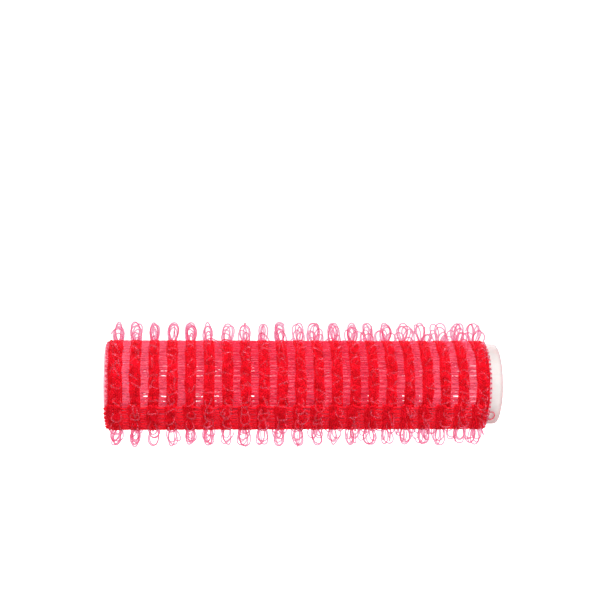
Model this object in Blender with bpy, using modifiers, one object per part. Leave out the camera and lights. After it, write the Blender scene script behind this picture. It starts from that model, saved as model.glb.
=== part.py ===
"""Self-grip hair roller, trade size 13 mm: a perforated plastic barrel wrapped in knitted hook fabric.

Run it with: blender --background --python part.py, or from Blender's text editor. Units are metres, +Z is up.
The roller lies along world X. Each piece is drawn in the roller's own frame, where local z is the roller's axis
and the angle turns about it from world +Y towards world +Z, and an empty lays that frame along world X.
"""

from math import ceil, cos, floor, pi, radians, sin

import bmesh
import bpy
from mathutils import Matrix

MM = 0.001

# Barrel: one moulded tube with plain collars at its ends and rows of windows between them.
BARREL_LENGTH = 63.0 * MM
BARREL_RADIUS = 6.5 * MM
BARREL_WALL = 1.0 * MM
LIP_RADIUS = 0.3 * MM
LIP_STEPS = 2
BARREL_FACETS = 32
WINDOW_ROWS = 7
WINDOW_COLUMNS = 8
WINDOW_CENTRE = 0.9 * MM
WINDOW_PITCH = 8.3 * MM
WINDOW_LENGTH = 5.4 * MM
WINDOW_WIDTH = 2.5 * MM

# Fabric: a strip wrapped once round the barrel, with its end lapped over its beginning.
GAP = 0.03 * MM
WEFT_DIAMETER = 0.20 * MM
WEFT_PITCH = 0.40 * MM
BAND_COUNT = 21
BAND_PITCH = 2.87 * MM
BAND_WIDTH = 1.75 * MM
BAND_THICKNESS = 0.25 * MM
SELVEDGE_WIDTH = 0.75 * MM
FABRIC_CENTRE = -0.78 * MM
BOND_THICKNESS = 0.08 * MM

# The wrap, in degrees along the strip from its inner end. It runs towards smaller angles about the axis.
WRAP_STEP = 15.0
WRAP_START_ANGLE = 255.0
OVERLAP = 50.0
WRAP_LENGTH = 360.0 + OVERLAP
LIFT_FROM = 345.0
LIFT_TO = 360.0
BOND_FROM = 372.0
BOND_TO = 407.0

# Hooks: one nylon filament in each band, looping out between every two stations.
HOOKS_PER_TURN = 24
HOOK_TIP_RADIUS = 10.0 * MM
HOOK_DIAMETER = 0.18 * MM
HOOK_FOOT_SPREAD = 1.1 * MM
HOOK_LEAN = 0.3 * MM
HOOK_START_TRIM = 3.0
HOOK_END_TRIM = 1.0

# Radii that follow from the sizes above. A flat facet dips below its corners, so the bands allow for that.
FACET_SHRINK = cos(radians(WRAP_STEP / 2))
WEFT_RADIUS = BARREL_RADIUS + GAP + WEFT_DIAMETER / 2
BAND_INNER = (WEFT_RADIUS + WEFT_DIAMETER / 2 + GAP / 2) / FACET_SHRINK
BAND_OUTER = BAND_INNER + BAND_THICKNESS
LAYER_LIFT = BAND_OUTER + GAP + BOND_THICKNESS + GAP - BARREL_RADIUS
FABRIC_WIDTH = (BAND_COUNT - 1) * BAND_PITCH + BAND_WIDTH + 2 * (GAP + SELVEDGE_WIDTH)

RED = (0.62, 0.004, 0.018)
PINK = (0.86, 0.16, 0.33)
MILK_WHITE = (0.90, 0.86, 0.84)
GLUE = (0.85, 0.80, 0.68)


def clear_scene():
    for obj in list(bpy.data.objects):
        bpy.data.objects.remove(obj)


def material(name, colour, roughness):
    made = bpy.data.materials.new(name)
    made.use_nodes = True
    shader = made.node_tree.nodes["Principled BSDF"]
    shader.inputs["Base Color"].default_value = (*colour, 1.0)
    shader.inputs["Roughness"].default_value = roughness
    shader.inputs["Metallic"].default_value = 0.0
    return made


def polar(radius, degrees, z=0.0):
    angle = radians(degrees)
    return (radius * cos(angle), radius * sin(angle), z)


def lift(along):
    """How far the strip stands off the barrel at this many degrees along it: nothing, then one layer."""
    share = (along - LIFT_FROM) / (LIFT_TO - LIFT_FROM)
    return LAYER_LIFT * min(1.0, max(0.0, share))


def wrapped(radius, along, z=0.0):
    """A point of the strip whose radius on the barrel would be this one."""
    return polar(radius + lift(along), WRAP_START_ANGLE - along, z)


def add_object(name, data, look, parts, frame, z=0.0):
    obj = bpy.data.objects.new(name, data)
    parts.objects.link(obj)
    obj.parent = frame
    obj.location.z = z
    if not data.materials:
        data.materials.append(look)
    return obj


def strip_outline(name, inner, outer, first, last, depth):
    """A flat spiral outline between two radii, from one place along the strip to another, this deep along z.

    Its corners are at whole steps of the wrap, so the facets of every layer line up.
    """
    between = range(floor(first / WRAP_STEP) + 1, ceil(last / WRAP_STEP))
    places = [first, *(i * WRAP_STEP for i in between), last]
    points = [wrapped(inner, place) for place in places]
    points += [wrapped(outer, place) for place in reversed(places)]
    curve = bpy.data.curves.new(name, "CURVE")
    curve.dimensions = "2D"
    curve.fill_mode = "BOTH"
    curve.extrude = depth / 2
    spline = curve.splines.new("POLY")
    spline.points.add(len(points) - 1)
    for point, place in zip(spline.points, points):
        point.co = (*place, 1.0)
    spline.use_cyclic_u = True
    return curve


def triangle_profile(radius, helpers):
    """A three-cornered section for fine yarn."""
    curve = bpy.data.curves.new("yarn_section", "CURVE")
    spline = curve.splines.new("POLY")
    spline.points.add(2)
    for corner, point in enumerate(spline.points):
        point.co = (*polar(radius, 90 - 120 * corner), 1.0)
    spline.use_cyclic_u = True
    profile = bpy.data.objects.new("yarn_section", curve)
    profile.hide_render = True
    profile.display_type = "WIRE"
    helpers.objects.link(profile)
    return profile


def yarn(name, points, section):
    curve = bpy.data.curves.new(name, "CURVE")
    curve.dimensions = "3D"
    curve.bevel_mode = "OBJECT"
    curve.bevel_object = section
    curve.use_fill_caps = True
    spline = curve.splines.new("POLY")
    spline.points.add(len(points) - 1)
    for point, place in zip(spline.points, points):
        point.co = (*place, 1.0)
    return curve


def lip_arc(centre_radius, centre_z, start):
    """A quarter turn of the rounded lip, from this angle in degrees, as (radius, z) points."""
    angles = [start - 90 * i / LIP_STEPS for i in range(LIP_STEPS + 1)]
    return [
        (centre_radius + LIP_RADIUS * cos(radians(a)), centre_z + LIP_RADIUS * sin(radians(a)))
        for a in angles
    ]


def add_barrel(look, parts, helpers, frame):
    """A turned tube with rounded lips, pierced by the windows."""
    outside = BARREL_RADIUS - LIP_RADIUS
    inside = BARREL_RADIUS - BARREL_WALL + LIP_RADIUS
    top = BARREL_LENGTH / 2 - LIP_RADIUS
    section = lip_arc(outside, top, 90)
    section += lip_arc(outside, -top, 0)
    section += lip_arc(inside, -top, -90)
    section += lip_arc(inside, top, -180)
    mesh = bpy.data.meshes.new("core_barrel")
    shape = bmesh.new()
    corners = [shape.verts.new((radius, 0.0, z)) for radius, z in section]
    for here, after in zip(corners, corners[1:] + corners[:1]):
        shape.edges.new((here, after))
    shape.to_mesh(mesh)
    shape.free()
    barrel = add_object("core_barrel", mesh, look, parts, frame)
    turn = barrel.modifiers.new("Turn", "SCREW")
    turn.axis = "Z"
    turn.steps = BARREL_FACETS
    turn.render_steps = BARREL_FACETS
    turn.use_merge_vertices = True
    turn.merge_threshold = 0.00001
    turn.use_smooth_shade = False
    cut = barrel.modifiers.new("Windows", "BOOLEAN")
    cut.operation = "DIFFERENCE"
    cut.object = window_cutter(helpers, frame)


def window_cutter(helpers, frame):
    """One block for each window, standing across the wall only."""
    shape = bmesh.new()
    size = Matrix.Diagonal((3 * BARREL_WALL, WINDOW_WIDTH, WINDOW_LENGTH, 1))
    for column in range(WINDOW_COLUMNS):
        turn = Matrix.Rotation(2 * pi * (column + 0.5) / WINDOW_COLUMNS, 4, "Z")
        for row in range(WINDOW_ROWS):
            z = WINDOW_CENTRE + (row - (WINDOW_ROWS - 1) / 2) * WINDOW_PITCH
            place = Matrix.Translation((BARREL_RADIUS - BARREL_WALL / 2, 0, z))
            bmesh.ops.create_cube(shape, size=1.0, matrix=turn @ place @ size)
    mesh = bpy.data.meshes.new("window_cutter")
    shape.to_mesh(mesh)
    shape.free()
    cutter = bpy.data.objects.new("window_cutter", mesh)
    helpers.objects.link(cutter)
    cutter.parent = frame
    cutter.hide_render = True
    cutter.display_type = "WIRE"
    return cutter


def add_weft(look, parts, section, frame):
    """One yarn laid to and fro across the whole fabric, turning at each selvedge."""
    pitch = WEFT_PITCH / WEFT_RADIUS * 180 / pi
    edge = FABRIC_WIDTH / 2
    bend = WEFT_PITCH / 2
    points = []
    for crossing in range(int(WRAP_LENGTH / pitch)):
        along = pitch * (crossing + 0.5)
        side = 1 if crossing % 2 else -1
        points.append(wrapped(WEFT_RADIUS, along, -side * (edge - bend)))
        points.append(wrapped(WEFT_RADIUS, along, side * (edge - bend)))
        points.append(wrapped(WEFT_RADIUS, along + pitch / 2, side * edge))
    data = yarn("weft_yarn", points[:-1], section)
    add_object("weft_yarn", data, look, parts, frame, FABRIC_CENTRE)


def band_place(number):
    return FABRIC_CENTRE + (number - (BAND_COUNT - 1) / 2) * BAND_PITCH


def add_bands(look, parts, frame):
    """The dense knitted bands that hold the hooks, and the narrow edge chain outside each end band."""
    data = strip_outline("wale_band", BAND_INNER, BAND_OUTER, 0, WRAP_LENGTH, BAND_WIDTH)
    for number in range(BAND_COUNT):
        add_object(f"wale_band_{number + 1:02d}", data, look, parts, frame, band_place(number))
    edge = strip_outline("selvedge", BAND_INNER, BAND_OUTER, 0, WRAP_LENGTH, SELVEDGE_WIDTH)
    beyond = (FABRIC_WIDTH - SELVEDGE_WIDTH) / 2
    add_object("selvedge_left", edge, look, parts, frame, FABRIC_CENTRE - beyond)
    add_object("selvedge_right", edge, look, parts, frame, FABRIC_CENTRE + beyond)


def add_hook_rows(look, parts, section, frame):
    """One filament for each band. Its feet step from side to side of the band, and it loops out between them.

    The loops lean to alternate sides, so their tips don't all stand on the row's middle plane.
    """
    foot_radius = BAND_OUTER + GAP + HOOK_DIAMETER / 2
    step = 360 / HOOKS_PER_TURN
    points = []
    for station in range(HOOKS_PER_TURN + 1):
        along = OVERLAP + station * step
        side = 1 if station % 2 else -1
        foot_along = min(max(along, OVERLAP + HOOK_START_TRIM), WRAP_LENGTH - HOOK_END_TRIM)
        points.append(wrapped(foot_radius, foot_along, side * HOOK_FOOT_SPREAD / 2))
        points.append(polar(HOOK_TIP_RADIUS, WRAP_START_ANGLE - along - step / 2, side * HOOK_LEAN))
    data = yarn("hook_row", points[:-1], section)
    for number in range(BAND_COUNT):
        add_object(f"hook_row_{number + 1:02d}", data, look, parts, frame, band_place(number))


def add_bond(look, parts, frame):
    """The line of hot-melt glue between the two layers of the lap."""
    inner = BAND_OUTER + GAP - LAYER_LIFT
    outer = inner + BOND_THICKNESS
    length = FABRIC_WIDTH - 2 * SELVEDGE_WIDTH
    data = strip_outline("overlap_bond", inner, outer, BOND_FROM, BOND_TO, length)
    add_object("overlap_bond", data, look, parts, frame, FABRIC_CENTRE)


def build():
    clear_scene()
    scene = bpy.context.scene
    parts = bpy.data.collections.new("hair_roller")
    helpers = bpy.data.collections.new("helpers")
    scene.collection.children.link(parts)
    scene.collection.children.link(helpers)
    frame = bpy.data.objects.new("roller_axis", None)
    parts.objects.link(frame)
    frame.rotation_euler = (radians(90), 0, radians(90))
    red_yarn = material("red_yarn", RED, 0.85)
    pink_nylon = material("pink_nylon", PINK, 0.3)
    white_plastic = material("white_plastic", MILK_WHITE, 0.35)
    glue = material("hot_melt", GLUE, 0.5)
    weft_section = triangle_profile(WEFT_DIAMETER / 2, helpers)
    hook_section = triangle_profile(HOOK_DIAMETER / 2, helpers)
    hook_section.name = "filament_section"
    add_barrel(white_plastic, parts, helpers, frame)
    add_weft(red_yarn, parts, weft_section, frame)
    add_bands(red_yarn, parts, frame)
    add_hook_rows(pink_nylon, parts, hook_section, frame)
    add_bond(glue, parts, frame)


build()
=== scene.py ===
"""The looks of the self-grip hair roller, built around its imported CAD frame.

The roller lies along X. A point is given by its radius, its angle about the axis (from +Y towards +Z)
and its x. The fabric is a strip wound over the barrel: "along" is the angle in degrees travelled from its
inner end.
"""

import math

import bmesh
import bpy
import numpy as np
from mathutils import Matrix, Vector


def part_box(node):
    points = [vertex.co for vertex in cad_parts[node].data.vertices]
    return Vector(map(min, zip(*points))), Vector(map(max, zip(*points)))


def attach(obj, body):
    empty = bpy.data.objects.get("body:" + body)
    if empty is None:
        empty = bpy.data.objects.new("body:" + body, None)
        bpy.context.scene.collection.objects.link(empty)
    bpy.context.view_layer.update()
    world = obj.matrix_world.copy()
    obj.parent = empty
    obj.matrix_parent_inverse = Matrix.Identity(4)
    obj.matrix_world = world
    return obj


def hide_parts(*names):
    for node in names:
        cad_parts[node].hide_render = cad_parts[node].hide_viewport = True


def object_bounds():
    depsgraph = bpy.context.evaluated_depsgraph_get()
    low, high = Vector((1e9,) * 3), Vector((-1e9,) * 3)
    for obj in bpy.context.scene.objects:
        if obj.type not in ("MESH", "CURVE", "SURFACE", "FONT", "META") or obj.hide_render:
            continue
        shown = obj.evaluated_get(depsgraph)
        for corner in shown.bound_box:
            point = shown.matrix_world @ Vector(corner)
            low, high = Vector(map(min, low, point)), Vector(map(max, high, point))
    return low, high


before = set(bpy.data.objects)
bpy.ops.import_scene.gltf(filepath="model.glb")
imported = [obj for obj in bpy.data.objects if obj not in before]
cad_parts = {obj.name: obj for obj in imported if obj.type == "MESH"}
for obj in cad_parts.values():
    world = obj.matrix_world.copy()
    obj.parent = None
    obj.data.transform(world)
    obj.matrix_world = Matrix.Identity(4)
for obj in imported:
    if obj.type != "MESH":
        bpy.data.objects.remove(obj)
CAD_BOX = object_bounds()

MM = 0.001
BODY = "root"
SEED = 11
BAND_NODES = sorted(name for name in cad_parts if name.startswith("wale_band_"))
HOOK_NODES = sorted(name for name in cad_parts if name.startswith("hook_row_"))

# The wrap of the strip, in degrees.
WRAP_START_ANGLE = 255.0
WRAP_LENGTH = 410.0
OVERLAP = 50.0
LIFT_FROM = 342.0
LIFT_TO = 364.0
BOND_FROM = 372.0
BOND_TO = 407.0

# The strip was wound a little askew. From here on it creeps to the left, by this much at its two edges.
SKEW_FROM = 345.0
SKEW_LEFT = 0.25 * MM
SKEW_RIGHT = 0.75 * MM

# Barrel, from the CAD node's box, and the windows that its mould leaves.
BARREL_LOW, BARREL_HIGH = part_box("core_barrel")
BARREL_RADIUS = BARREL_HIGH.z
BARREL_WALL = 1.0 * MM
LIP_RADIUS = 0.25 * MM
WINDOW_ROWS = 7
WINDOW_COLUMNS = 8
WINDOW_CENTRE = 0.9 * MM
WINDOW_PITCH = 8.3 * MM
WINDOW_LENGTH = 5.4 * MM
WINDOW_WIDTH = 2.5 * MM
WINDOW_CORNER = 0.35 * MM

# Ground yarn, from the CAD box of the yarn, laid to and fro across the strip.
WEFT_LOW, WEFT_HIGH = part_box("weft_yarn")
WEFT_RADIUS = BARREL_RADIUS + 0.16 * MM
WEFT_PITCH = 0.40 * MM
WEFT_YARN_RADIUS = 0.138 * MM
WEFT_SAMPLES = 150
WEFT_WANDER = 0.045 * MM
PAIRING = 0.14
LOOSE_CROSSINGS = 3
LOOSE_WANDER = 0.08 * MM
GAUZE_RISE = 0.2 * MM
FINE_YARNS_PER_GAP = 200
FINE_YARN_RADIUS = 0.035 * MM
FINE_YARN_SLANT = 0.6 * MM
STRAY_LOOP_ALONG = 24.5
STRAY_LOOP_HALF_SIZE = (0.6 * MM, 0.95 * MM)
STRAY_LOOP_YARN_RADIUS = 0.08 * MM

# Knitted bands and selvedges, from the CAD box of one band.
BAND_LOW, BAND_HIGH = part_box(BAND_NODES[0])
BAND_OUTER = BAND_HIGH.y
BAND_THICKNESS = 0.25 * MM
BAND_MIDDLE = BAND_OUTER - BAND_THICKNESS / 2
BAND_WIDTH = BAND_HIGH.x - BAND_LOW.x
BAND_CENTRES = [(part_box(node)[0].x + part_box(node)[1].x) / 2 for node in BAND_NODES]
BAND_KNOTS = 45
BAND_SWAY = 0.05 * MM
BAND_SWELL = 0.07
LAYER_LIFT = 0.58 * MM
CHAINS_PER_BAND = 5
CHAINS_PER_SELVEDGE = 2
YARN_RADIUS = 0.09 * MM
COURSE_PITCH = 0.42 * MM
COURSE_SAMPLES = 6
COURSE_LAG = 0.16
COURSE_JITTER = 0.05
CHAIN_SWING = 0.22 * MM
CHAIN_HEIGHT = 0.05 * MM
CHAIN_WANDER = 0.03 * MM
STITCH_SIZES = (0.6, 1.15)
LAID_IN_SPACING = 0.17 * MM
LAID_IN_RADIUS = 0.11 * MM
LAID_IN_SAMPLES = 130
SELVEDGE_TOOTH = 0.3 * MM
FIBRE_ENDS_PER_BAND = 26
FIBRE_RADIUS = 0.022 * MM

# Hooks, from the CAD box of one row.
HOOK_TIP_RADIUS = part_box(HOOK_NODES[0])[1].z
HOOKS_PER_TURN = 24
FILAMENT_RADIUS = 0.13 * MM
LOOP_SAMPLES = 19
LOOP_FOOT = 0.22
LOOP_WIDTH = 1.35 * MM
LOOP_NECK = 0.4 * MM
LOOP_LEAN = (0.22 * MM, 0.35 * MM)
DOUBLE_SHARE = 0.35
DOUBLE_STEP = 0.4
CUT_SHARE = 0.2

# Glue line under the lap: two beads.
BEAD_RADIUS = 0.04 * MM
BEAD_SAMPLES = 160

# Camera, opposite a point left of the roller's middle.
LENS = 81.0
CAMERA_PLACE = (-18.8 * MM, -217.6 * MM, 0)
CAMERA_PITCH = 93.56
CAMERA_YAW = -4.84


# Geometry helpers


def unit(vectors):
    """The same vectors, each of length 1."""
    return vectors / np.linalg.norm(vectors, axis=-1, keepdims=True)


def smooth_step(low, high, value):
    """Goes smoothly from 0 at the low value to 1 at the high one."""
    share = np.clip((value - low) / (high - low), 0, 1)
    return share * share * (3 - 2 * share)


def at(radius, degrees, x):
    """World points from cylinder coordinates."""
    angle = np.radians(degrees)
    parts = np.broadcast_arrays(x, radius * np.cos(angle), radius * np.sin(angle))
    return np.stack(parts, axis=-1)


def skew(along, x):
    """How far the strip has crept to the left on its way round: most at its right edge."""
    share = (x - WEFT_LOW.x) / (WEFT_HIGH.x - WEFT_LOW.x)
    size = SKEW_LEFT + (SKEW_RIGHT - SKEW_LEFT) * share
    return -size * smooth_step(SKEW_FROM, WRAP_LENGTH, along)


def wrapped(radius, along, x):
    """World points of the strip, whose radius on the bare barrel would be this one."""
    lift = LAYER_LIFT * smooth_step(LIFT_FROM, LIFT_TO, along)
    return at(radius + lift, WRAP_START_ANGLE - along, x + skew(along, x))


def outwards(points):
    """The direction away from the roller's axis at each point."""
    flat = points.copy()
    flat[..., 0] = 0
    return unit(flat)


def drift(rng, count, knots, size):
    """A slow random wander of this size, over count samples with about this many bends."""
    values = rng.normal(0, size, knots + 3)
    places = np.linspace(0, knots, count)
    low = places.astype(int)
    share = places - low
    share = share * share * (3 - 2 * share)
    return values[low] * (1 - share) + values[low + 1] * share


class Strands:
    """Tubes swept along paths, gathered into one mesh.

    UV: how many times its own girth the yarn has run, and the share of a turn round it.
    """

    def __init__(self, sides):
        self.sides = sides
        self.points = []
        self.quads = []
        self.caps = []
        self.uvs = []
        self.size = 0

    def add(self, path, radius, up):
        """One tube with closed ends. Its radius is one number, or one for each point of the path."""
        sides = self.sides
        self.points.append(self.rings(path, radius, up))
        row = np.arange(len(path) - 1)[:, None] * sides
        here = np.arange(sides)[None, :]
        after = (here + 1) % sides
        corners = np.stack([row + here, row + after, row + after + sides, row + here + sides], axis=-1)
        self.quads.append(corners.reshape(-1, 4) + self.size)
        last = (len(path) - 1) * sides
        self.caps.append(np.arange(sides)[::-1] + self.size)
        self.caps.append(np.arange(sides) + last + self.size)
        self.uvs.append(self.thread_uv(path, radius))
        self.size += len(path) * sides

    def rings(self, path, radius, up):
        """The tube's points: one ring square to the path round each of its points."""
        tangent = unit(np.gradient(path, axis=0))
        over = unit(up - tangent * np.sum(up * tangent, axis=1, keepdims=True))
        side = np.cross(over, tangent)
        turn = np.arange(self.sides) * 2 * math.pi / self.sides
        thick = np.broadcast_to(radius, len(path))[:, None, None]
        ring = np.cos(turn)[None, :, None] * side[:, None] + np.sin(turn)[None, :, None] * over[:, None]
        return (path[:, None] + thick * ring).reshape(-1, 3)

    def thread_uv(self, path, radius):
        """UV of each quad's corners."""
        sides = self.sides
        steps = np.linalg.norm(np.diff(path, axis=0), axis=1)
        length = np.concatenate([[0], np.cumsum(steps)]) / (2 * math.pi * np.mean(radius))
        u = np.broadcast_to(length[:, None], (len(path), sides))
        v0 = np.broadcast_to(np.arange(sides)[None, :] / sides, (len(path) - 1, sides))
        v1 = v0 + 1 / sides
        corner_u = np.stack([u[:-1], u[:-1], u[1:], u[1:]], axis=-1)
        corner_v = np.stack([v0, v1, v1, v0], axis=-1)
        return np.stack([corner_u, corner_v], axis=-1).reshape(-1, 2)

    def build(self, name):
        """The mesh of all tubes added so far."""
        faces = [np.concatenate(self.quads), np.array(self.caps)]
        cap_uv = np.zeros((faces[1].size, 2))
        return make_mesh(name, np.concatenate(self.points), faces, np.concatenate(self.uvs + [cap_uv]))


def make_mesh(name, points, faces, uv=None):
    """A smooth-shaded mesh from points and a list of face arrays, each array holding faces of one size."""
    mesh = bpy.data.meshes.new(name)
    corners = np.concatenate([group.ravel() for group in faces])
    sizes = np.concatenate([np.full(len(group), group.shape[1]) for group in faces])
    starts = np.concatenate([[0], np.cumsum(sizes)[:-1]])
    mesh.vertices.add(len(points))
    mesh.vertices.foreach_set("co", points.astype(np.float32).ravel())
    mesh.loops.add(len(corners))
    mesh.loops.foreach_set("vertex_index", corners.astype(np.int32))
    mesh.polygons.add(len(sizes))
    mesh.polygons.foreach_set("loop_start", starts.astype(np.int32))
    mesh.update(calc_edges=True)
    if uv is not None:
        layer = mesh.uv_layers.new(name="strand")
        layer.data.foreach_set("uv", uv.astype(np.float32).ravel())
    mesh.validate()
    mesh.shade_smooth()
    return mesh


def add_object(mesh, look):
    """Puts a mesh in the scene with this material."""
    obj = bpy.data.objects.new(mesh.name, mesh)
    bpy.context.scene.collection.objects.link(obj)
    mesh.materials.append(look)
    return obj


def add_piece(mesh, look, slot, *nodes):
    """Puts a mesh in the scene as a piece of the roller that stands for these CAD nodes."""
    obj = add_object(mesh, look)
    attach(obj, BODY)
    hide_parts(*nodes)
    return obj


# Materials

BLACK = (0.0, 0.0, 0.0)
WHITE = (1.0, 1.0, 1.0)
DARK = (*BLACK, 1.0)

RED = ((0.55, 0.001, 0.006), (0.86, 0.004, 0.018))
GROUND_RED = ((0.64, 0.004, 0.014), (0.86, 0.014, 0.032))
GROUND_OVER_CORE = ((0.52, 0.008, 0.026), (0.67, 0.030, 0.062))
# Paler near the ends: painted light from the bore.
GROUND_OVER_CORE_PAINTED_BORE_LIGHT = ((0.56, 0.050, 0.092), (0.71, 0.125, 0.180))
# Painted glow of the yarn: the ground yarn's where it lies on the barrel, and any yarn's on its sides that
# face the axis.
GROUND_PAINTED_GLOW = (0.05, 0.006, 0.014, 1.0)
YARN_INWARD_PAINTED_GLOW = (0.35, 0.06, 0.10, 1.0)
YARN_SHEEN = (1.0, 0.15, 0.22, 1.0)
FILAMENT_PINK = ((0.96, 0.46, 0.61), (0.985, 0.52, 0.66))
# The white plastic, darker and pinker where its surface turns away from the view: painted shade.
MILK_FACING = (0.62, 0.61, 0.595)
MILK_PAINTED_HALF_SHADE = (0.55, 0.48, 0.47)
MILK_PAINTED_EDGE_SHADE = (0.44, 0.35, 0.35)
# Painted shade at the right end's lip, tinged pink with painted red light.
LIP_PAINTED_SHADE = (0.53, 0.41, 0.42, 1.0)
# Under the fabric the white plastic is painted red-pink and given a painted glow: red light through the
# fabric.
COVERED_PAINTED_RED_LIGHT = (1.0, 0.26, 0.34, 1.0)
COVERED_PAINTED_GLOW = (0.12, 0.035, 0.048, 1.0)
# Inside the bore the white plastic is painted pink with red light through the fabric, paler between the rows
# of windows as a painted highlight on the hoops, and given a painted glow.
BORE_PAINTED_LIGHT_BETWEEN_ROWS = (0.92, 0.52, 0.56)
BORE_PAINTED_LIGHT_AT_WINDOWS = (0.90, 0.34, 0.40)
BORE_PAINTED_GLOW = (0.22, 0.07, 0.09, 1.0)
# Painted red light on the clear glue.
GLUE_PAINTED_RED_LIGHT = ((0.90, 0.30, 0.32), (0.95, 0.45, 0.45))
SWEEP = ((0.93, 0.93, 0.93), (0.95, 0.95, 0.95))


class Nodes:
    """A short way to write a material's node tree."""

    def __init__(self, name):
        self.material = bpy.data.materials.new(name)
        self.material.use_nodes = True
        self.tree = self.material.node_tree
        self.shader = self.tree.nodes["Principled BSDF"]

    def new(self, kind, **values):
        """A new node with these attributes."""
        node = self.tree.nodes.new(kind)
        for key, value in values.items():
            setattr(node, key, value)
        return node

    def join(self, output, socket):
        """Feeds a socket with another node's output or with a plain value."""
        if isinstance(output, (int, float, tuple)):
            socket.default_value = output
        else:
            self.tree.links.new(output, socket)

    def math(self, operation, first, second=0.0):
        """The result of one sum."""
        node = self.new("ShaderNodeMath", operation=operation)
        self.join(first, node.inputs[0])
        self.join(second, node.inputs[1])
        return node.outputs[0]

    def coordinates(self, kind):
        """A texture coordinate."""
        return self.new("ShaderNodeTexCoord").outputs[kind]

    def parts(self, kind):
        """The three parts of a texture coordinate."""
        split = self.new("ShaderNodeSeparateXYZ")
        self.join(self.coordinates(kind), split.inputs[0])
        return split.outputs

    def noise(self, scale, detail=2.0):
        """Noise of this many bumps a metre."""
        node = self.new("ShaderNodeTexNoise")
        self.join(self.coordinates("Object"), node.inputs["Vector"])
        node.inputs["Scale"].default_value = scale
        node.inputs["Detail"].default_value = detail
        return node.outputs["Fac"]

    def ramp(self, value, *stops):
        """A colour ramp from (position, colour) stops."""
        node = self.new("ShaderNodeValToRGB")
        ramp = node.color_ramp
        while len(ramp.elements) < len(stops):
            ramp.elements.new(0.5)
        for element, (position, colour) in zip(ramp.elements, stops):
            element.position = position
            element.color = (*colour, 1.0)
        self.join(value, node.inputs["Fac"])
        return node.outputs["Color"]

    def uneven(self, value, tones):
        """Goes from the first tone to the second over the middle of a noise's range."""
        return self.ramp(value, (0.3, tones[0]), (0.7, tones[1]))

    def mix(self, share, first, second):
        """The first colour where the share is 0, the second where it is 1."""
        node = self.new("ShaderNodeMixRGB")
        self.join(share, node.inputs["Fac"])
        self.join(first, node.inputs["Color1"])
        self.join(second, node.inputs["Color2"])
        return node.outputs["Color"]

    def beyond(self, value, start, length):
        """How far a value is past its start, as a share of this length."""
        return self.math("DIVIDE", self.math("SUBTRACT", value, start), length)

    def axis_distance(self):
        """How far the point is from the roller's axis."""
        place = self.parts("Object")
        squares = [self.math("POWER", place[axis], 2.0) for axis in "YZ"]
        return self.math("SQRT", self.math("ADD", *squares))

    def near_end(self):
        """0 around the roller's middle, 1 at its two ends."""
        share = self.math("DIVIDE", self.math("ABSOLUTE", self.parts("Object")["X"]), BARREL_HIGH.x)
        return self.ramp(share, (0.35, BLACK), (0.95, WHITE))

    def faces_axis(self):
        """1 on a surface that looks at the roller's axis, 0 on one that looks sideways or outwards."""
        place = self.parts("Object")
        normal = self.parts("Normal")
        products = [self.math("MULTIPLY", place[axis], normal[axis]) for axis in "YZ"]
        outwards = self.math("DIVIDE", self.math("ADD", *products), self.axis_distance())
        return self.ramp(self.math("MULTIPLY", outwards, -1.0), (0.0, BLACK), (0.7, WHITE))

    def bump(self, height, strength, distance):
        """Roughens the surface by this height."""
        node = self.new("ShaderNodeBump")
        node.inputs["Strength"].default_value = strength
        node.inputs["Distance"].default_value = distance
        self.join(height, node.inputs["Height"])
        self.join(node.outputs["Normal"], self.shader.inputs["Normal"])

    def glow(self, colour):
        """Painted light that the surface gives off, though it is no lamp."""
        self.set(emission_color=colour, emission_strength=1.0)

    def set(self, **values):
        """Sets the shader's inputs: base_color stands for "Base Color"."""
        for key, value in values.items():
            self.join(value, self.shader.inputs[key.replace("_", " ").title().replace("Ior", "IOR")])


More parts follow.
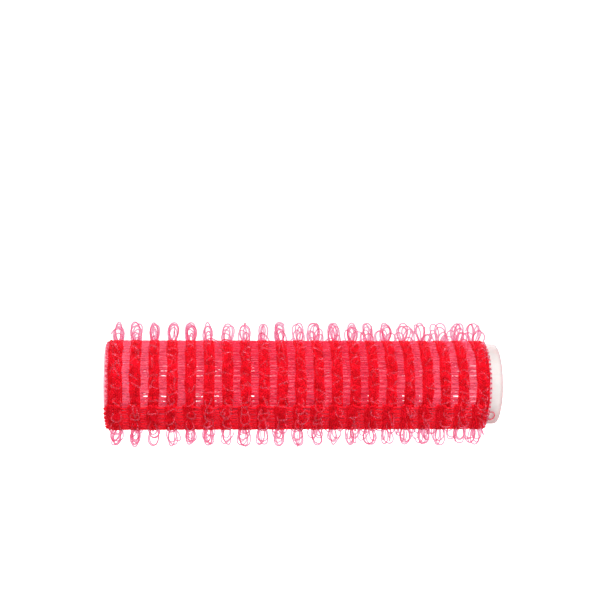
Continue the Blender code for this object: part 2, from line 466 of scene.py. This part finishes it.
def yarn_material(name, tones, over_core=None, over_core_painted_bore_light=None):
    """Two-ply spun yarn: the plies' twist as bump and as a little painted shade in their grooves, uneven dye,
    a soft sheen, and a painted glow that is strongest on the sides that face the axis.

    The other tones are for a yarn so thin that the pale barrel shines through where it lies on it. Towards
    the roller's ends they are paler: painted light, standing in for light that comes in through the bore.
    """
    nodes = Nodes(name)
    thread = nodes.parts("UV")
    plies = nodes.math("MULTIPLY", thread["Y"], 2.0)
    phase = nodes.math("MULTIPLY", nodes.math("ADD", plies, thread["X"]), 2 * math.pi)
    twist = nodes.math("SINE", phase)
    fibre = nodes.noise(30000.0, 3.0)
    dye = nodes.noise(900.0, 3.0)
    # Uneven dye, and the twist that lightens and darkens the colour a little along the plies: painted shade
    # in their grooves.
    dye_and_groove_shade = nodes.math("ADD", dye, nodes.math("MULTIPLY", twist, 0.06))
    colour = nodes.uneven(dye_and_groove_shade, tones)
    glow = DARK
    if over_core:
        height = nodes.beyond(nodes.axis_distance(), BAND_OUTER, 0.1 * MM)
        in_middle = nodes.uneven(dye_and_groove_shade, over_core)
        # Towards the ends the tones are paler: painted light from the bore.
        painted_bore_light = nodes.uneven(dye_and_groove_shade, over_core_painted_bore_light)
        on_core = nodes.mix(nodes.near_end(), in_middle, painted_bore_light)
        lifted = nodes.ramp(height, (0.0, BLACK), (1.0, WHITE))
        colour = nodes.mix(lifted, on_core, colour)
        glow = nodes.mix(lifted, GROUND_PAINTED_GLOW, DARK)
    nodes.set(base_color=colour)
    # Painted glow: strongest on the sides that face the axis, and on the ground yarn where it lies on the
    # barrel.
    nodes.glow(nodes.mix(nodes.faces_axis(), glow, YARN_INWARD_PAINTED_GLOW))
    nodes.bump(nodes.math("ADD", twist, nodes.math("MULTIPLY", fibre, 1.5)), 0.5, 0.02 * MM)
    nodes.set(roughness=0.75, sheen_weight=0.1, sheen_roughness=0.4, sheen_tint=YARN_SHEEN)
    nodes.set(specular_ior_level=0.08, subsurface_weight=0.5, subsurface_scale=0.3 * MM)
    nodes.set(subsurface_radius=(1.0, 0.15, 0.2))
    return nodes.material


def filament_material():
    """Clear nylon monofilament dyed pink, with slight unevenness along it."""
    nodes = Nodes("pink_filament")
    nodes.set(base_color=nodes.uneven(nodes.noise(1200.0), FILAMENT_PINK))
    nodes.bump(nodes.noise(9000.0), 0.15, 0.02 * MM)
    nodes.set(roughness=0.15, transmission_weight=0.97, ior=1.03)
    return nodes.material


def core_material():
    """Milk-white polypropylene: a white collar with painted shade on its edges and at its right lip.
    Inside, and where the red fabric lies on it, it is painted pink and given a painted glow: red light
    that comes through the fabric.
    """
    nodes = Nodes("milk_white_plastic")
    along = nodes.parts("Object")["X"]
    from_left = nodes.math("SUBTRACT", along, BARREL_LOW.x - 2.2 * MM)
    from_right = nodes.math("SUBTRACT", BARREL_HIGH.x - 1.5 * MM, along)
    covered = nodes.math("DIVIDE", nodes.math("MINIMUM", from_left, from_right), 4 * MM)
    covered = nodes.math("ADD", covered, nodes.math("MULTIPLY", nodes.noise(350.0), 0.15))
    covered = nodes.ramp(covered, (0.1, BLACK), (0.9, WHITE))
    depth = nodes.math("DIVIDE", nodes.math("SUBTRACT", BARREL_RADIUS, nodes.axis_distance()), BARREL_WALL)
    inner = nodes.ramp(depth, (0.05, BLACK), (0.35, WHITE))
    # Where the surface turns away from the view the white darkens: painted shade on the edges.
    facing = nodes.new("ShaderNodeLayerWeight").outputs["Facing"]
    milk_and_edge_shade = nodes.ramp(facing, (0.15, MILK_FACING), (0.45, MILK_PAINTED_HALF_SHADE), (1.0, MILK_PAINTED_EDGE_SHADE))
    # Towards the right end's lip the white darkens and turns pink: painted shade with painted red light.
    lip_shade = nodes.ramp(nodes.beyond(along, BARREL_HIGH.x - 0.6 * MM, 0.4 * MM), (0.0, BLACK), (1.0, WHITE))
    # Where the fabric covers the barrel its white is painted pink: red light that comes through the fabric.
    outside = nodes.mix(covered, nodes.mix(lip_shade, milk_and_edge_shade, LIP_PAINTED_SHADE), COVERED_PAINTED_RED_LIGHT)
    # Inside, painted red light: pink, and paler between the rows of windows as a painted highlight.
    turns = nodes.beyond(along, WINDOW_CENTRE, WINDOW_PITCH)
    row = nodes.math("COSINE", nodes.math("MULTIPLY", turns, 2 * math.pi))
    inside = nodes.ramp(row, (0.0, BORE_PAINTED_LIGHT_BETWEEN_ROWS), (0.3, BORE_PAINTED_LIGHT_AT_WINDOWS))
    nodes.set(base_color=nodes.mix(inner, outside, inside))
    nodes.bump(nodes.noise(2500.0, 3.0), 0.08, 0.05 * MM)
    # Painted glow inside the bore and under the fabric, though the plastic is no lamp.
    nodes.glow(nodes.mix(inner, nodes.mix(covered, DARK, COVERED_PAINTED_GLOW), BORE_PAINTED_GLOW))
    nodes.set(roughness=0.4, specular_ior_level=0.1)
    nodes.set(subsurface_weight=0.5, subsurface_radius=(1.0, 0.6, 0.55), subsurface_scale=1.2 * MM)
    return nodes.material


def glue_material():
    """Clear hot-melt glue, its pink colour painted red light from the fabric around it."""
    nodes = Nodes("hot_melt_glue")
    nodes.set(base_color=nodes.uneven(nodes.noise(900.0), GLUE_PAINTED_RED_LIGHT))
    nodes.bump(nodes.noise(4000.0), 0.3, 0.04 * MM)
    nodes.set(roughness=0.4, transmission_weight=0.9, ior=1.4)
    return nodes.material


# Pieces


def barrel_grid():
    """The barrel's mesh lines, round it in radians and along it, and a test for the cells of its windows."""
    half_width = WINDOW_WIDTH / 2
    corner_share = 1 - WINDOW_CORNER / half_width
    half_window = half_width / BARREL_RADIUS
    column = 2 * math.pi / WINDOW_COLUMNS
    window = np.array([-1.0, -corner_share, 0.0, corner_share, 1.0]) * half_window
    rib = np.linspace(half_window, column - half_window, 6)[1:-1]
    one_column = np.concatenate([window, rib])
    angles = np.concatenate([one_column + column * (i + 0.5) for i in range(WINDOW_COLUMNS)])
    centres = WINDOW_CENTRE + (np.arange(WINDOW_ROWS) - (WINDOW_ROWS - 1) / 2) * WINDOW_PITCH
    half = WINDOW_LENGTH / 2
    offsets = (-half, WINDOW_CORNER - half, 0, half - WINDOW_CORNER, half)
    stations = [centre + offset for centre in centres for offset in offsets]
    stations += [(a + b) / 2 for a, b in zip(centres, centres[1:])]
    stations += list(np.linspace(BARREL_LOW.x, centres[0] - half, 5)[:-1])
    stations += list(np.linspace(centres[-1] + half, BARREL_HIGH.x, 4)[1:])

    def in_window(j, x):
        in_column = j % len(one_column) < len(window) - 1
        return in_column and np.any(np.abs(centres - x) < half)

    return angles, np.array(sorted(stations)), in_window


def add_core(look):
    """The moulded barrel: a rolled sheet with its windows left out, thickened, and rounded at every edge."""
    angles, stations, in_window = barrel_grid()
    shape = bmesh.new()
    grid = [[shape.verts.new(at(BARREL_RADIUS, math.degrees(a), x)) for a in angles] for x in stations]
    for i, (x0, x1) in enumerate(zip(stations, stations[1:])):
        for j in range(len(angles)):
            if in_window(j, (x0 + x1) / 2):
                continue
            k = (j + 1) % len(angles)
            shape.faces.new((grid[i][j], grid[i][k], grid[i + 1][k], grid[i + 1][j]))
    bmesh.ops.recalc_face_normals(shape, faces=shape.faces)
    mesh = bpy.data.meshes.new("roller_core")
    shape.to_mesh(mesh)
    shape.free()
    mesh.shade_smooth()
    core = add_piece(mesh, look, "core_plastic", "core_barrel")
    wall = core.modifiers.new("Wall", "SOLIDIFY")
    wall.thickness = BARREL_WALL
    wall.offset = -1
    wall.use_even_offset = True
    lips = core.modifiers.new("Lips", "BEVEL")
    lips.width = LIP_RADIUS
    lips.segments = 2
    lips.limit_method = "ANGLE"
    lips.angle_limit = math.radians(50)
    round_off = core.modifiers.new("Round", "SUBSURF")
    round_off.levels = 1
    round_off.render_levels = 1


def band_lines(rng, x):
    """Where a yarn of the band runs, from its offset: the band's middle sways, and its width swells."""
    knots = np.linspace(0, WRAP_LENGTH, BAND_KNOTS)
    sway = rng.normal(0, BAND_SWAY, BAND_KNOTS)
    swell = rng.normal(1, BAND_SWELL, BAND_KNOTS)

    def line(offset, along):
        return x + np.interp(along, knots, sway) + offset * np.interp(along, knots, swell)

    return line


def laid_in_path(rng, line, offset):
    """One straight yarn that runs along a band underneath its chains."""
    count = LAID_IN_SAMPLES
    along = np.linspace(1.0, WRAP_LENGTH - rng.uniform(0.3, 3.5), count)
    radius = BAND_MIDDLE - CHAIN_HEIGHT + drift(rng, count, 60, 0.012 * MM)
    return wrapped(radius, along, line(offset, along) + drift(rng, count, 24, 0.02 * MM))


def chain_path(rng, line, offset, amplitude, phase):
    """One pillar-stitch chain: every course loops to either side of its line and back over the last one."""
    courses = int(math.radians(WRAP_LENGTH) * BAND_MIDDLE / COURSE_PITCH) - 1
    t = np.arange(courses * COURSE_SAMPLES) / COURSE_SAMPLES
    jitter = np.repeat(rng.normal(0, COURSE_JITTER, courses), COURSE_SAMPLES)
    course = t + phase + COURSE_LAG * np.sin(4 * math.pi * t) + jitter
    along = np.degrees(course * COURSE_PITCH / BAND_MIDDLE)
    size = np.repeat(rng.uniform(*STITCH_SIZES, courses), COURSE_SAMPLES)
    side = amplitude * size * np.sin(2 * math.pi * t) + drift(rng, len(t), 24, CHAIN_WANDER)
    height = CHAIN_HEIGHT * np.cos(4 * math.pi * t) * size
    return wrapped(BAND_MIDDLE + height, along, line(offset, along) + side)


def add_fibre_ends(rng, strands, low_x, high_x):
    """Loose fibre ends that stand off the knit, thinner towards their tips."""
    for _ in range(FIBRE_ENDS_PER_BAND):
        along = rng.uniform(OVERLAP, WRAP_LENGTH - 2)
        x = rng.uniform(low_x, high_x)
        reach = rng.uniform(0.25, 0.8) * MM
        t = np.linspace(0, 1, 6)
        sway = rng.normal(0, 0.5, 2) * reach
        lean = rng.normal(0, 0.6) * reach
        radius = BAND_OUTER - 0.05 * MM + reach * t * 0.7
        turned = along + np.degrees(lean * t / BAND_OUTER)
        path = wrapped(radius, turned, x + sway[0] * t + sway[1] * t * t)
        across = np.broadcast_to((1.0, 0.0, 0.0), path.shape)
        strands.add(path, FIBRE_RADIUS * (1 - 0.6 * t), across)


def add_band(rng, name, node, x, width, chains, look):
    """A knitted band or selvedge: chains of stitches over straight laid-in yarns, and fibre ends."""
    strands = Strands(4)
    line = band_lines(rng, x)
    reach = width / 2 - LAID_IN_RADIUS
    laid_in = round(2 * reach / LAID_IN_SPACING) + 1
    for offset in np.linspace(-reach, reach, laid_in):
        path = laid_in_path(rng, line, offset)
        strands.add(path, LAID_IN_RADIUS, outwards(path))
    swing = min(CHAIN_SWING, width / 4)
    reach = width / 2 - swing - YARN_RADIUS
    for chain, offset in enumerate(np.linspace(-reach, reach, chains)):
        path = chain_path(rng, line, offset, swing, 0.5 * (chain % 2) + 0.5)
        strands.add(path, YARN_RADIUS * rng.uniform(0.95, 1.05), outwards(path))
    add_fibre_ends(rng, strands, x - width / 2, x + width / 2)
    add_piece(strands.build(name), look, "red_yarn", node)


def gauze_rise(x):
    """How far the ground yarn swells outwards at this x: not under a band, most in the middle of a gap."""
    share = (x - BAND_CENTRES[0]) / (BAND_CENTRES[1] - BAND_CENTRES[0])
    from_band = np.abs(share - np.round(share)) * 2
    inside = (share > 0) & (share < len(BAND_CENTRES) - 1)
    return GAUZE_RISE * smooth_step(0.3, 0.75, from_band) * inside


def weft_path(rng):
    """The ground yarn's way to and fro across the strip. It turns back at each selvedge.

    Its crossings lie in loose pairs, and the last few fray at the lap's free edge.
    """
    pitch = math.degrees(WEFT_PITCH / WEFT_RADIUS)
    low, high = WEFT_LOW.x + 0.05 * MM, WEFT_HIGH.x - 0.05 * MM
    crossings = int(WRAP_LENGTH / pitch) - 1
    share = np.linspace(0, 1, WEFT_SAMPLES)
    bend = 0.5 * (1 - np.sqrt(np.clip(1 - (2 * share - 1) ** 80, 0, 1)))
    paths = []
    for crossing in range(crossings):
        x = low + (high - low) * (share if crossing % 2 else 1 - share)
        wander = drift(rng, WEFT_SAMPLES, 75, WEFT_WANDER)
        pairing = PAIRING * pitch * (1 if crossing % 2 else -1)
        if crossing >= crossings - LOOSE_CROSSINGS:
            wander = wander + drift(rng, WEFT_SAMPLES, 40, LOOSE_WANDER)
        along = pitch * (crossing + 0.5) + pairing + np.degrees(wander / WEFT_RADIUS)
        along = along + pitch * bend * np.where(share > 0.5, 1, -1)
        radius = WEFT_RADIUS + gauze_rise(x) + drift(rng, WEFT_SAMPLES, 30, 0.012 * MM)
        paths.append(wrapped(radius, along, x))
    return np.concatenate(paths)


def add_fine_yarns(rng, strands, left, right):
    """Fine yarns that bridge the gap between two bands."""
    for _ in range(FINE_YARNS_PER_GAP):
        t = np.linspace(0, 1, 5)
        start = rng.uniform(0, WRAP_LENGTH - 4)
        along = start + np.degrees(rng.normal(0, FINE_YARN_SLANT) * t / WEFT_RADIUS)
        x = left + (right - left) * (0.2 + 0.6 * t)
        radius = WEFT_RADIUS + gauze_rise(x) + drift(rng, len(t), 3, 0.06 * MM)
        path = wrapped(radius, along, x)
        strands.add(path, FINE_YARN_RADIUS, outwards(path))


def stray_loop():
    """One loose loop of ground yarn that has slipped out from under the lap, over the bare collar."""
    turn = np.linspace(-0.35, 2 * math.pi + 0.35, 26)
    half_length, half_height = STRAY_LOOP_HALF_SIZE
    along = STRAY_LOOP_ALONG + np.degrees(half_height * np.sin(turn) / BARREL_RADIUS)
    x = WEFT_HIGH.x + 0.25 * MM - half_length * np.cos(turn)
    return wrapped(BARREL_RADIUS + 0.15 * MM, along, x)


def add_weft(rng, look):
    """The ground yarn with the fine yarns of its gaps and its stray loop."""
    strands = Strands(5)
    path = weft_path(rng)
    strands.add(path, WEFT_YARN_RADIUS, outwards(path))
    for left, right in zip(BAND_CENTRES, BAND_CENTRES[1:]):
        add_fine_yarns(rng, strands, left, right)
    path = stray_loop()
    strands.add(path, STRAY_LOOP_YARN_RADIUS, outwards(path))
    add_piece(strands.build("ground_yarn"), look, "red_yarn", "weft_yarn")


def loop_path(rng, x, along, cut):
    """One nylon loop: up from the band, round a bulging tip and back down to a narrower neck, or cut open."""
    end = rng.uniform(1.2, 1.6) * math.pi if cut else 2 * math.pi - LOOP_FOOT
    turn = np.linspace(LOOP_FOOT, end, LOOP_SAMPLES)
    tip = HOOK_TIP_RADIUS - FILAMENT_RADIUS - abs(rng.normal(0, 0.25)) * MM
    base = BAND_OUTER - 0.12 * MM + (LAYER_LIFT if along > LIFT_TO else 0)
    rise = (1 - np.cos(turn)) / 2
    radius = base + (tip - base) * rise
    bulge = LOOP_WIDTH / 2 * rng.uniform(0.7, 1.15) * 1.25 * np.sin(turn) * np.sin(turn / 2)
    neck = LOOP_NECK * rng.uniform(0.3, 1.3) * (1 - turn / math.pi)
    spread = (bulge + neck) * rng.choice((-1, 1))
    plane = rng.normal(0, 0.5) + rng.normal(0, 0.5) * rise
    lean = rng.normal(0, 1, 2) * LOOP_LEAN
    side = spread * np.cos(plane) + lean[0] * rise**1.5
    round_axis = spread * np.sin(plane) + lean[1] * rise**1.5
    if cut:
        side = side + rng.normal(0, 0.3) * MM * smooth_step(0.6, 1.0, turn / end)
    degrees = WRAP_START_ANGLE - along + np.degrees(round_axis / radius)
    return at(radius, degrees, x + side), degrees


def add_hook_row(rng, name, node, x, look):
    """The loops of one band: one at each station, and a second filament's loop beside some of them.

    Light passes through them, so they cast no shadow on the fabric.
    """
    strands = Strands(5)
    step = 360 / HOOKS_PER_TURN
    for station in range(HOOKS_PER_TURN):
        for offset in (0.0, DOUBLE_STEP)[: 2 if rng.random() < DOUBLE_SHARE else 1]:
            along = OVERLAP + (station + 0.3 + offset + rng.normal(0, 0.14)) * step
            along = min(max(along, OVERLAP + 2), WRAP_LENGTH - 2)
            path, degrees = loop_path(rng, x + rng.normal(0, 0.12) * MM, along, rng.random() < CUT_SHARE)
            angle = np.radians(degrees)
            round_axis = np.stack([np.zeros_like(angle), -np.sin(angle), np.cos(angle)], axis=-1)
            strands.add(path, FILAMENT_RADIUS, round_axis)
    loops = add_piece(strands.build(name), look, "hook_filament", node)
    loops.visible_shadow = False


def add_glue(rng, look):
    """The glue line between the two layers of the lap: two uneven beads."""
    low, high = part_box("overlap_bond")
    strands = Strands(8)
    x = np.linspace(low.x, high.x, BEAD_SAMPLES)
    for share in (0.25, 0.75):
        along = BOND_FROM + (BOND_TO - BOND_FROM) * share + drift(rng, BEAD_SAMPLES, 30, 1.5)
        path = at(BAND_OUTER + 0.03 * MM + BEAD_RADIUS, WRAP_START_ANGLE - along, x)
        strands.add(path, BEAD_RADIUS * np.exp(drift(rng, BEAD_SAMPLES, 50, 0.08)), outwards(path))
    add_piece(strands.build("lap_glue"), look, "bond_adhesive", "overlap_bond")


# Stage, light and camera


def add_stage():
    """A pale sweep: a floor at the hooks' tips that curves up into a backdrop.

    To the camera and through a filament it shines white, and its surface is dark to the ray through a
    filament, so that it never looks brighter than white there.
    """
    nodes = Nodes("pale_sweep")
    pale = nodes.uneven(nodes.noise(6.0), SWEEP)
    rays = nodes.new("ShaderNodeLightPath").outputs
    through = rays["Is Transmission Ray"]
    seen = nodes.math("MULTIPLY", rays["Is Camera Ray"], 0.8)
    shine = nodes.math("ADD", seen, nodes.math("MULTIPLY", through, 0.93))
    nodes.set(base_color=nodes.mix(through, pale, DARK))
    nodes.set(roughness=0.9, emission_color=(*WHITE, 1.0), emission_strength=shine)
    floor = CAD_BOX[0].z - 0.05 * MM
    front, depth, half_width, bend, height = -1.2, 0.5, 1.6, 0.25, 1.2
    profile = [(front, floor), (depth, floor)]
    for angle in np.linspace(0, math.pi / 2, 10)[1:]:
        profile.append((depth + bend * math.sin(angle), floor + bend * (1 - math.cos(angle))))
    profile.append((depth + bend, floor + height))
    points = np.array([(x, y, z) for y, z in profile for x in (-half_width, half_width)])
    rows = np.arange(len(profile) - 1)[:, None] * 2
    faces = rows + np.array([[0, 1, 3, 2]])
    add_object(make_mesh("stage_sweep", points, [faces]), nodes.material)


def add_light(name, place, size, watts):
    """A round soft light that aims at the roller's middle."""
    data = bpy.data.lights.new(name, "AREA")
    data.shape = "DISK"
    data.size = size
    data.energy = watts
    lamp = bpy.data.objects.new(name, data)
    bpy.context.scene.collection.objects.link(lamp)
    lamp.location = place
    aim = (CAD_BOX[0] + CAD_BOX[1]) / 2 - lamp.location
    lamp.rotation_euler = aim.to_track_quat("-Z", "Y").to_euler()


def add_world():
    """A white studio that is seen at full brightness but lights the roller softly."""
    world = bpy.data.worlds.new("studio")
    world.use_nodes = True
    tree = world.node_tree
    rays = tree.nodes.new("ShaderNodeLightPath").outputs
    seen = tree.nodes.new("ShaderNodeMath")
    seen.operation = "MAXIMUM"
    tree.links.new(rays["Is Camera Ray"], seen.inputs[0])
    tree.links.new(rays["Is Transmission Ray"], seen.inputs[1])
    strength = tree.nodes.new("ShaderNodeMapRange")
    strength.inputs["To Min"].default_value = 0.4
    strength.inputs["To Max"].default_value = 1.0
    tree.links.new(seen.outputs[0], strength.inputs["Value"])
    background = tree.nodes["Background"]
    background.inputs["Color"].default_value = (*WHITE, 1.0)
    tree.links.new(strength.outputs["Result"], background.inputs["Strength"])
    bpy.context.scene.world = world


def add_camera():
    """Level with the roller's axis, left of its middle, and turned a little to the right and up."""
    data = bpy.data.cameras.new("camera")
    data.lens = LENS
    data.sensor_width = 36.0
    data.clip_start = 0.01
    data.clip_end = 10.0
    camera = bpy.data.objects.new("camera", data)
    bpy.context.scene.collection.objects.link(camera)
    camera.location = CAMERA_PLACE
    camera.rotation_euler = (math.radians(CAMERA_PITCH), 0, math.radians(CAMERA_YAW))
    bpy.context.scene.camera = camera


def add_roller(rng):
    """All pieces of the roller, from the barrel outwards."""
    red = yarn_material("red_yarn", RED)
    ground = yarn_material("red_ground_yarn", GROUND_RED, GROUND_OVER_CORE, GROUND_OVER_CORE_PAINTED_BORE_LIGHT)
    filament = filament_material()
    add_core(core_material())
    add_weft(rng, ground)
    for number, (node, x) in enumerate(zip(BAND_NODES, BAND_CENTRES), 1):
        add_band(rng, f"knit_band_{number:02d}", node, x, BAND_WIDTH, CHAINS_PER_BAND, red)
    for side, inwards in (("left", 1), ("right", -1)):
        node = f"selvedge_{side}"
        low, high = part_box(node)
        x = (low.x + high.x + inwards * SELVEDGE_TOOTH) / 2
        width = high.x - low.x - SELVEDGE_TOOTH
        add_band(rng, f"knit_edge_{side}", node, x, width, CHAINS_PER_SELVEDGE, red)
    for number, (node, x) in enumerate(zip(HOOK_NODES, BAND_CENTRES), 1):
        add_hook_row(rng, f"hook_loops_{number:02d}", node, x, filament)
    add_glue(rng, glue_material())


add_roller(np.random.default_rng(SEED))
add_stage()
add_light("key", (-0.12, -0.30, 0.42), 0.30, 2.2)
add_light("fill", (0.25, -0.40, 0.10), 0.35, 1.0)
add_light("back", (0.05, 0.30, 0.30), 0.30, 1.0)
add_world()
add_camera()
bpy.context.scene.view_settings.view_transform = "Standard"
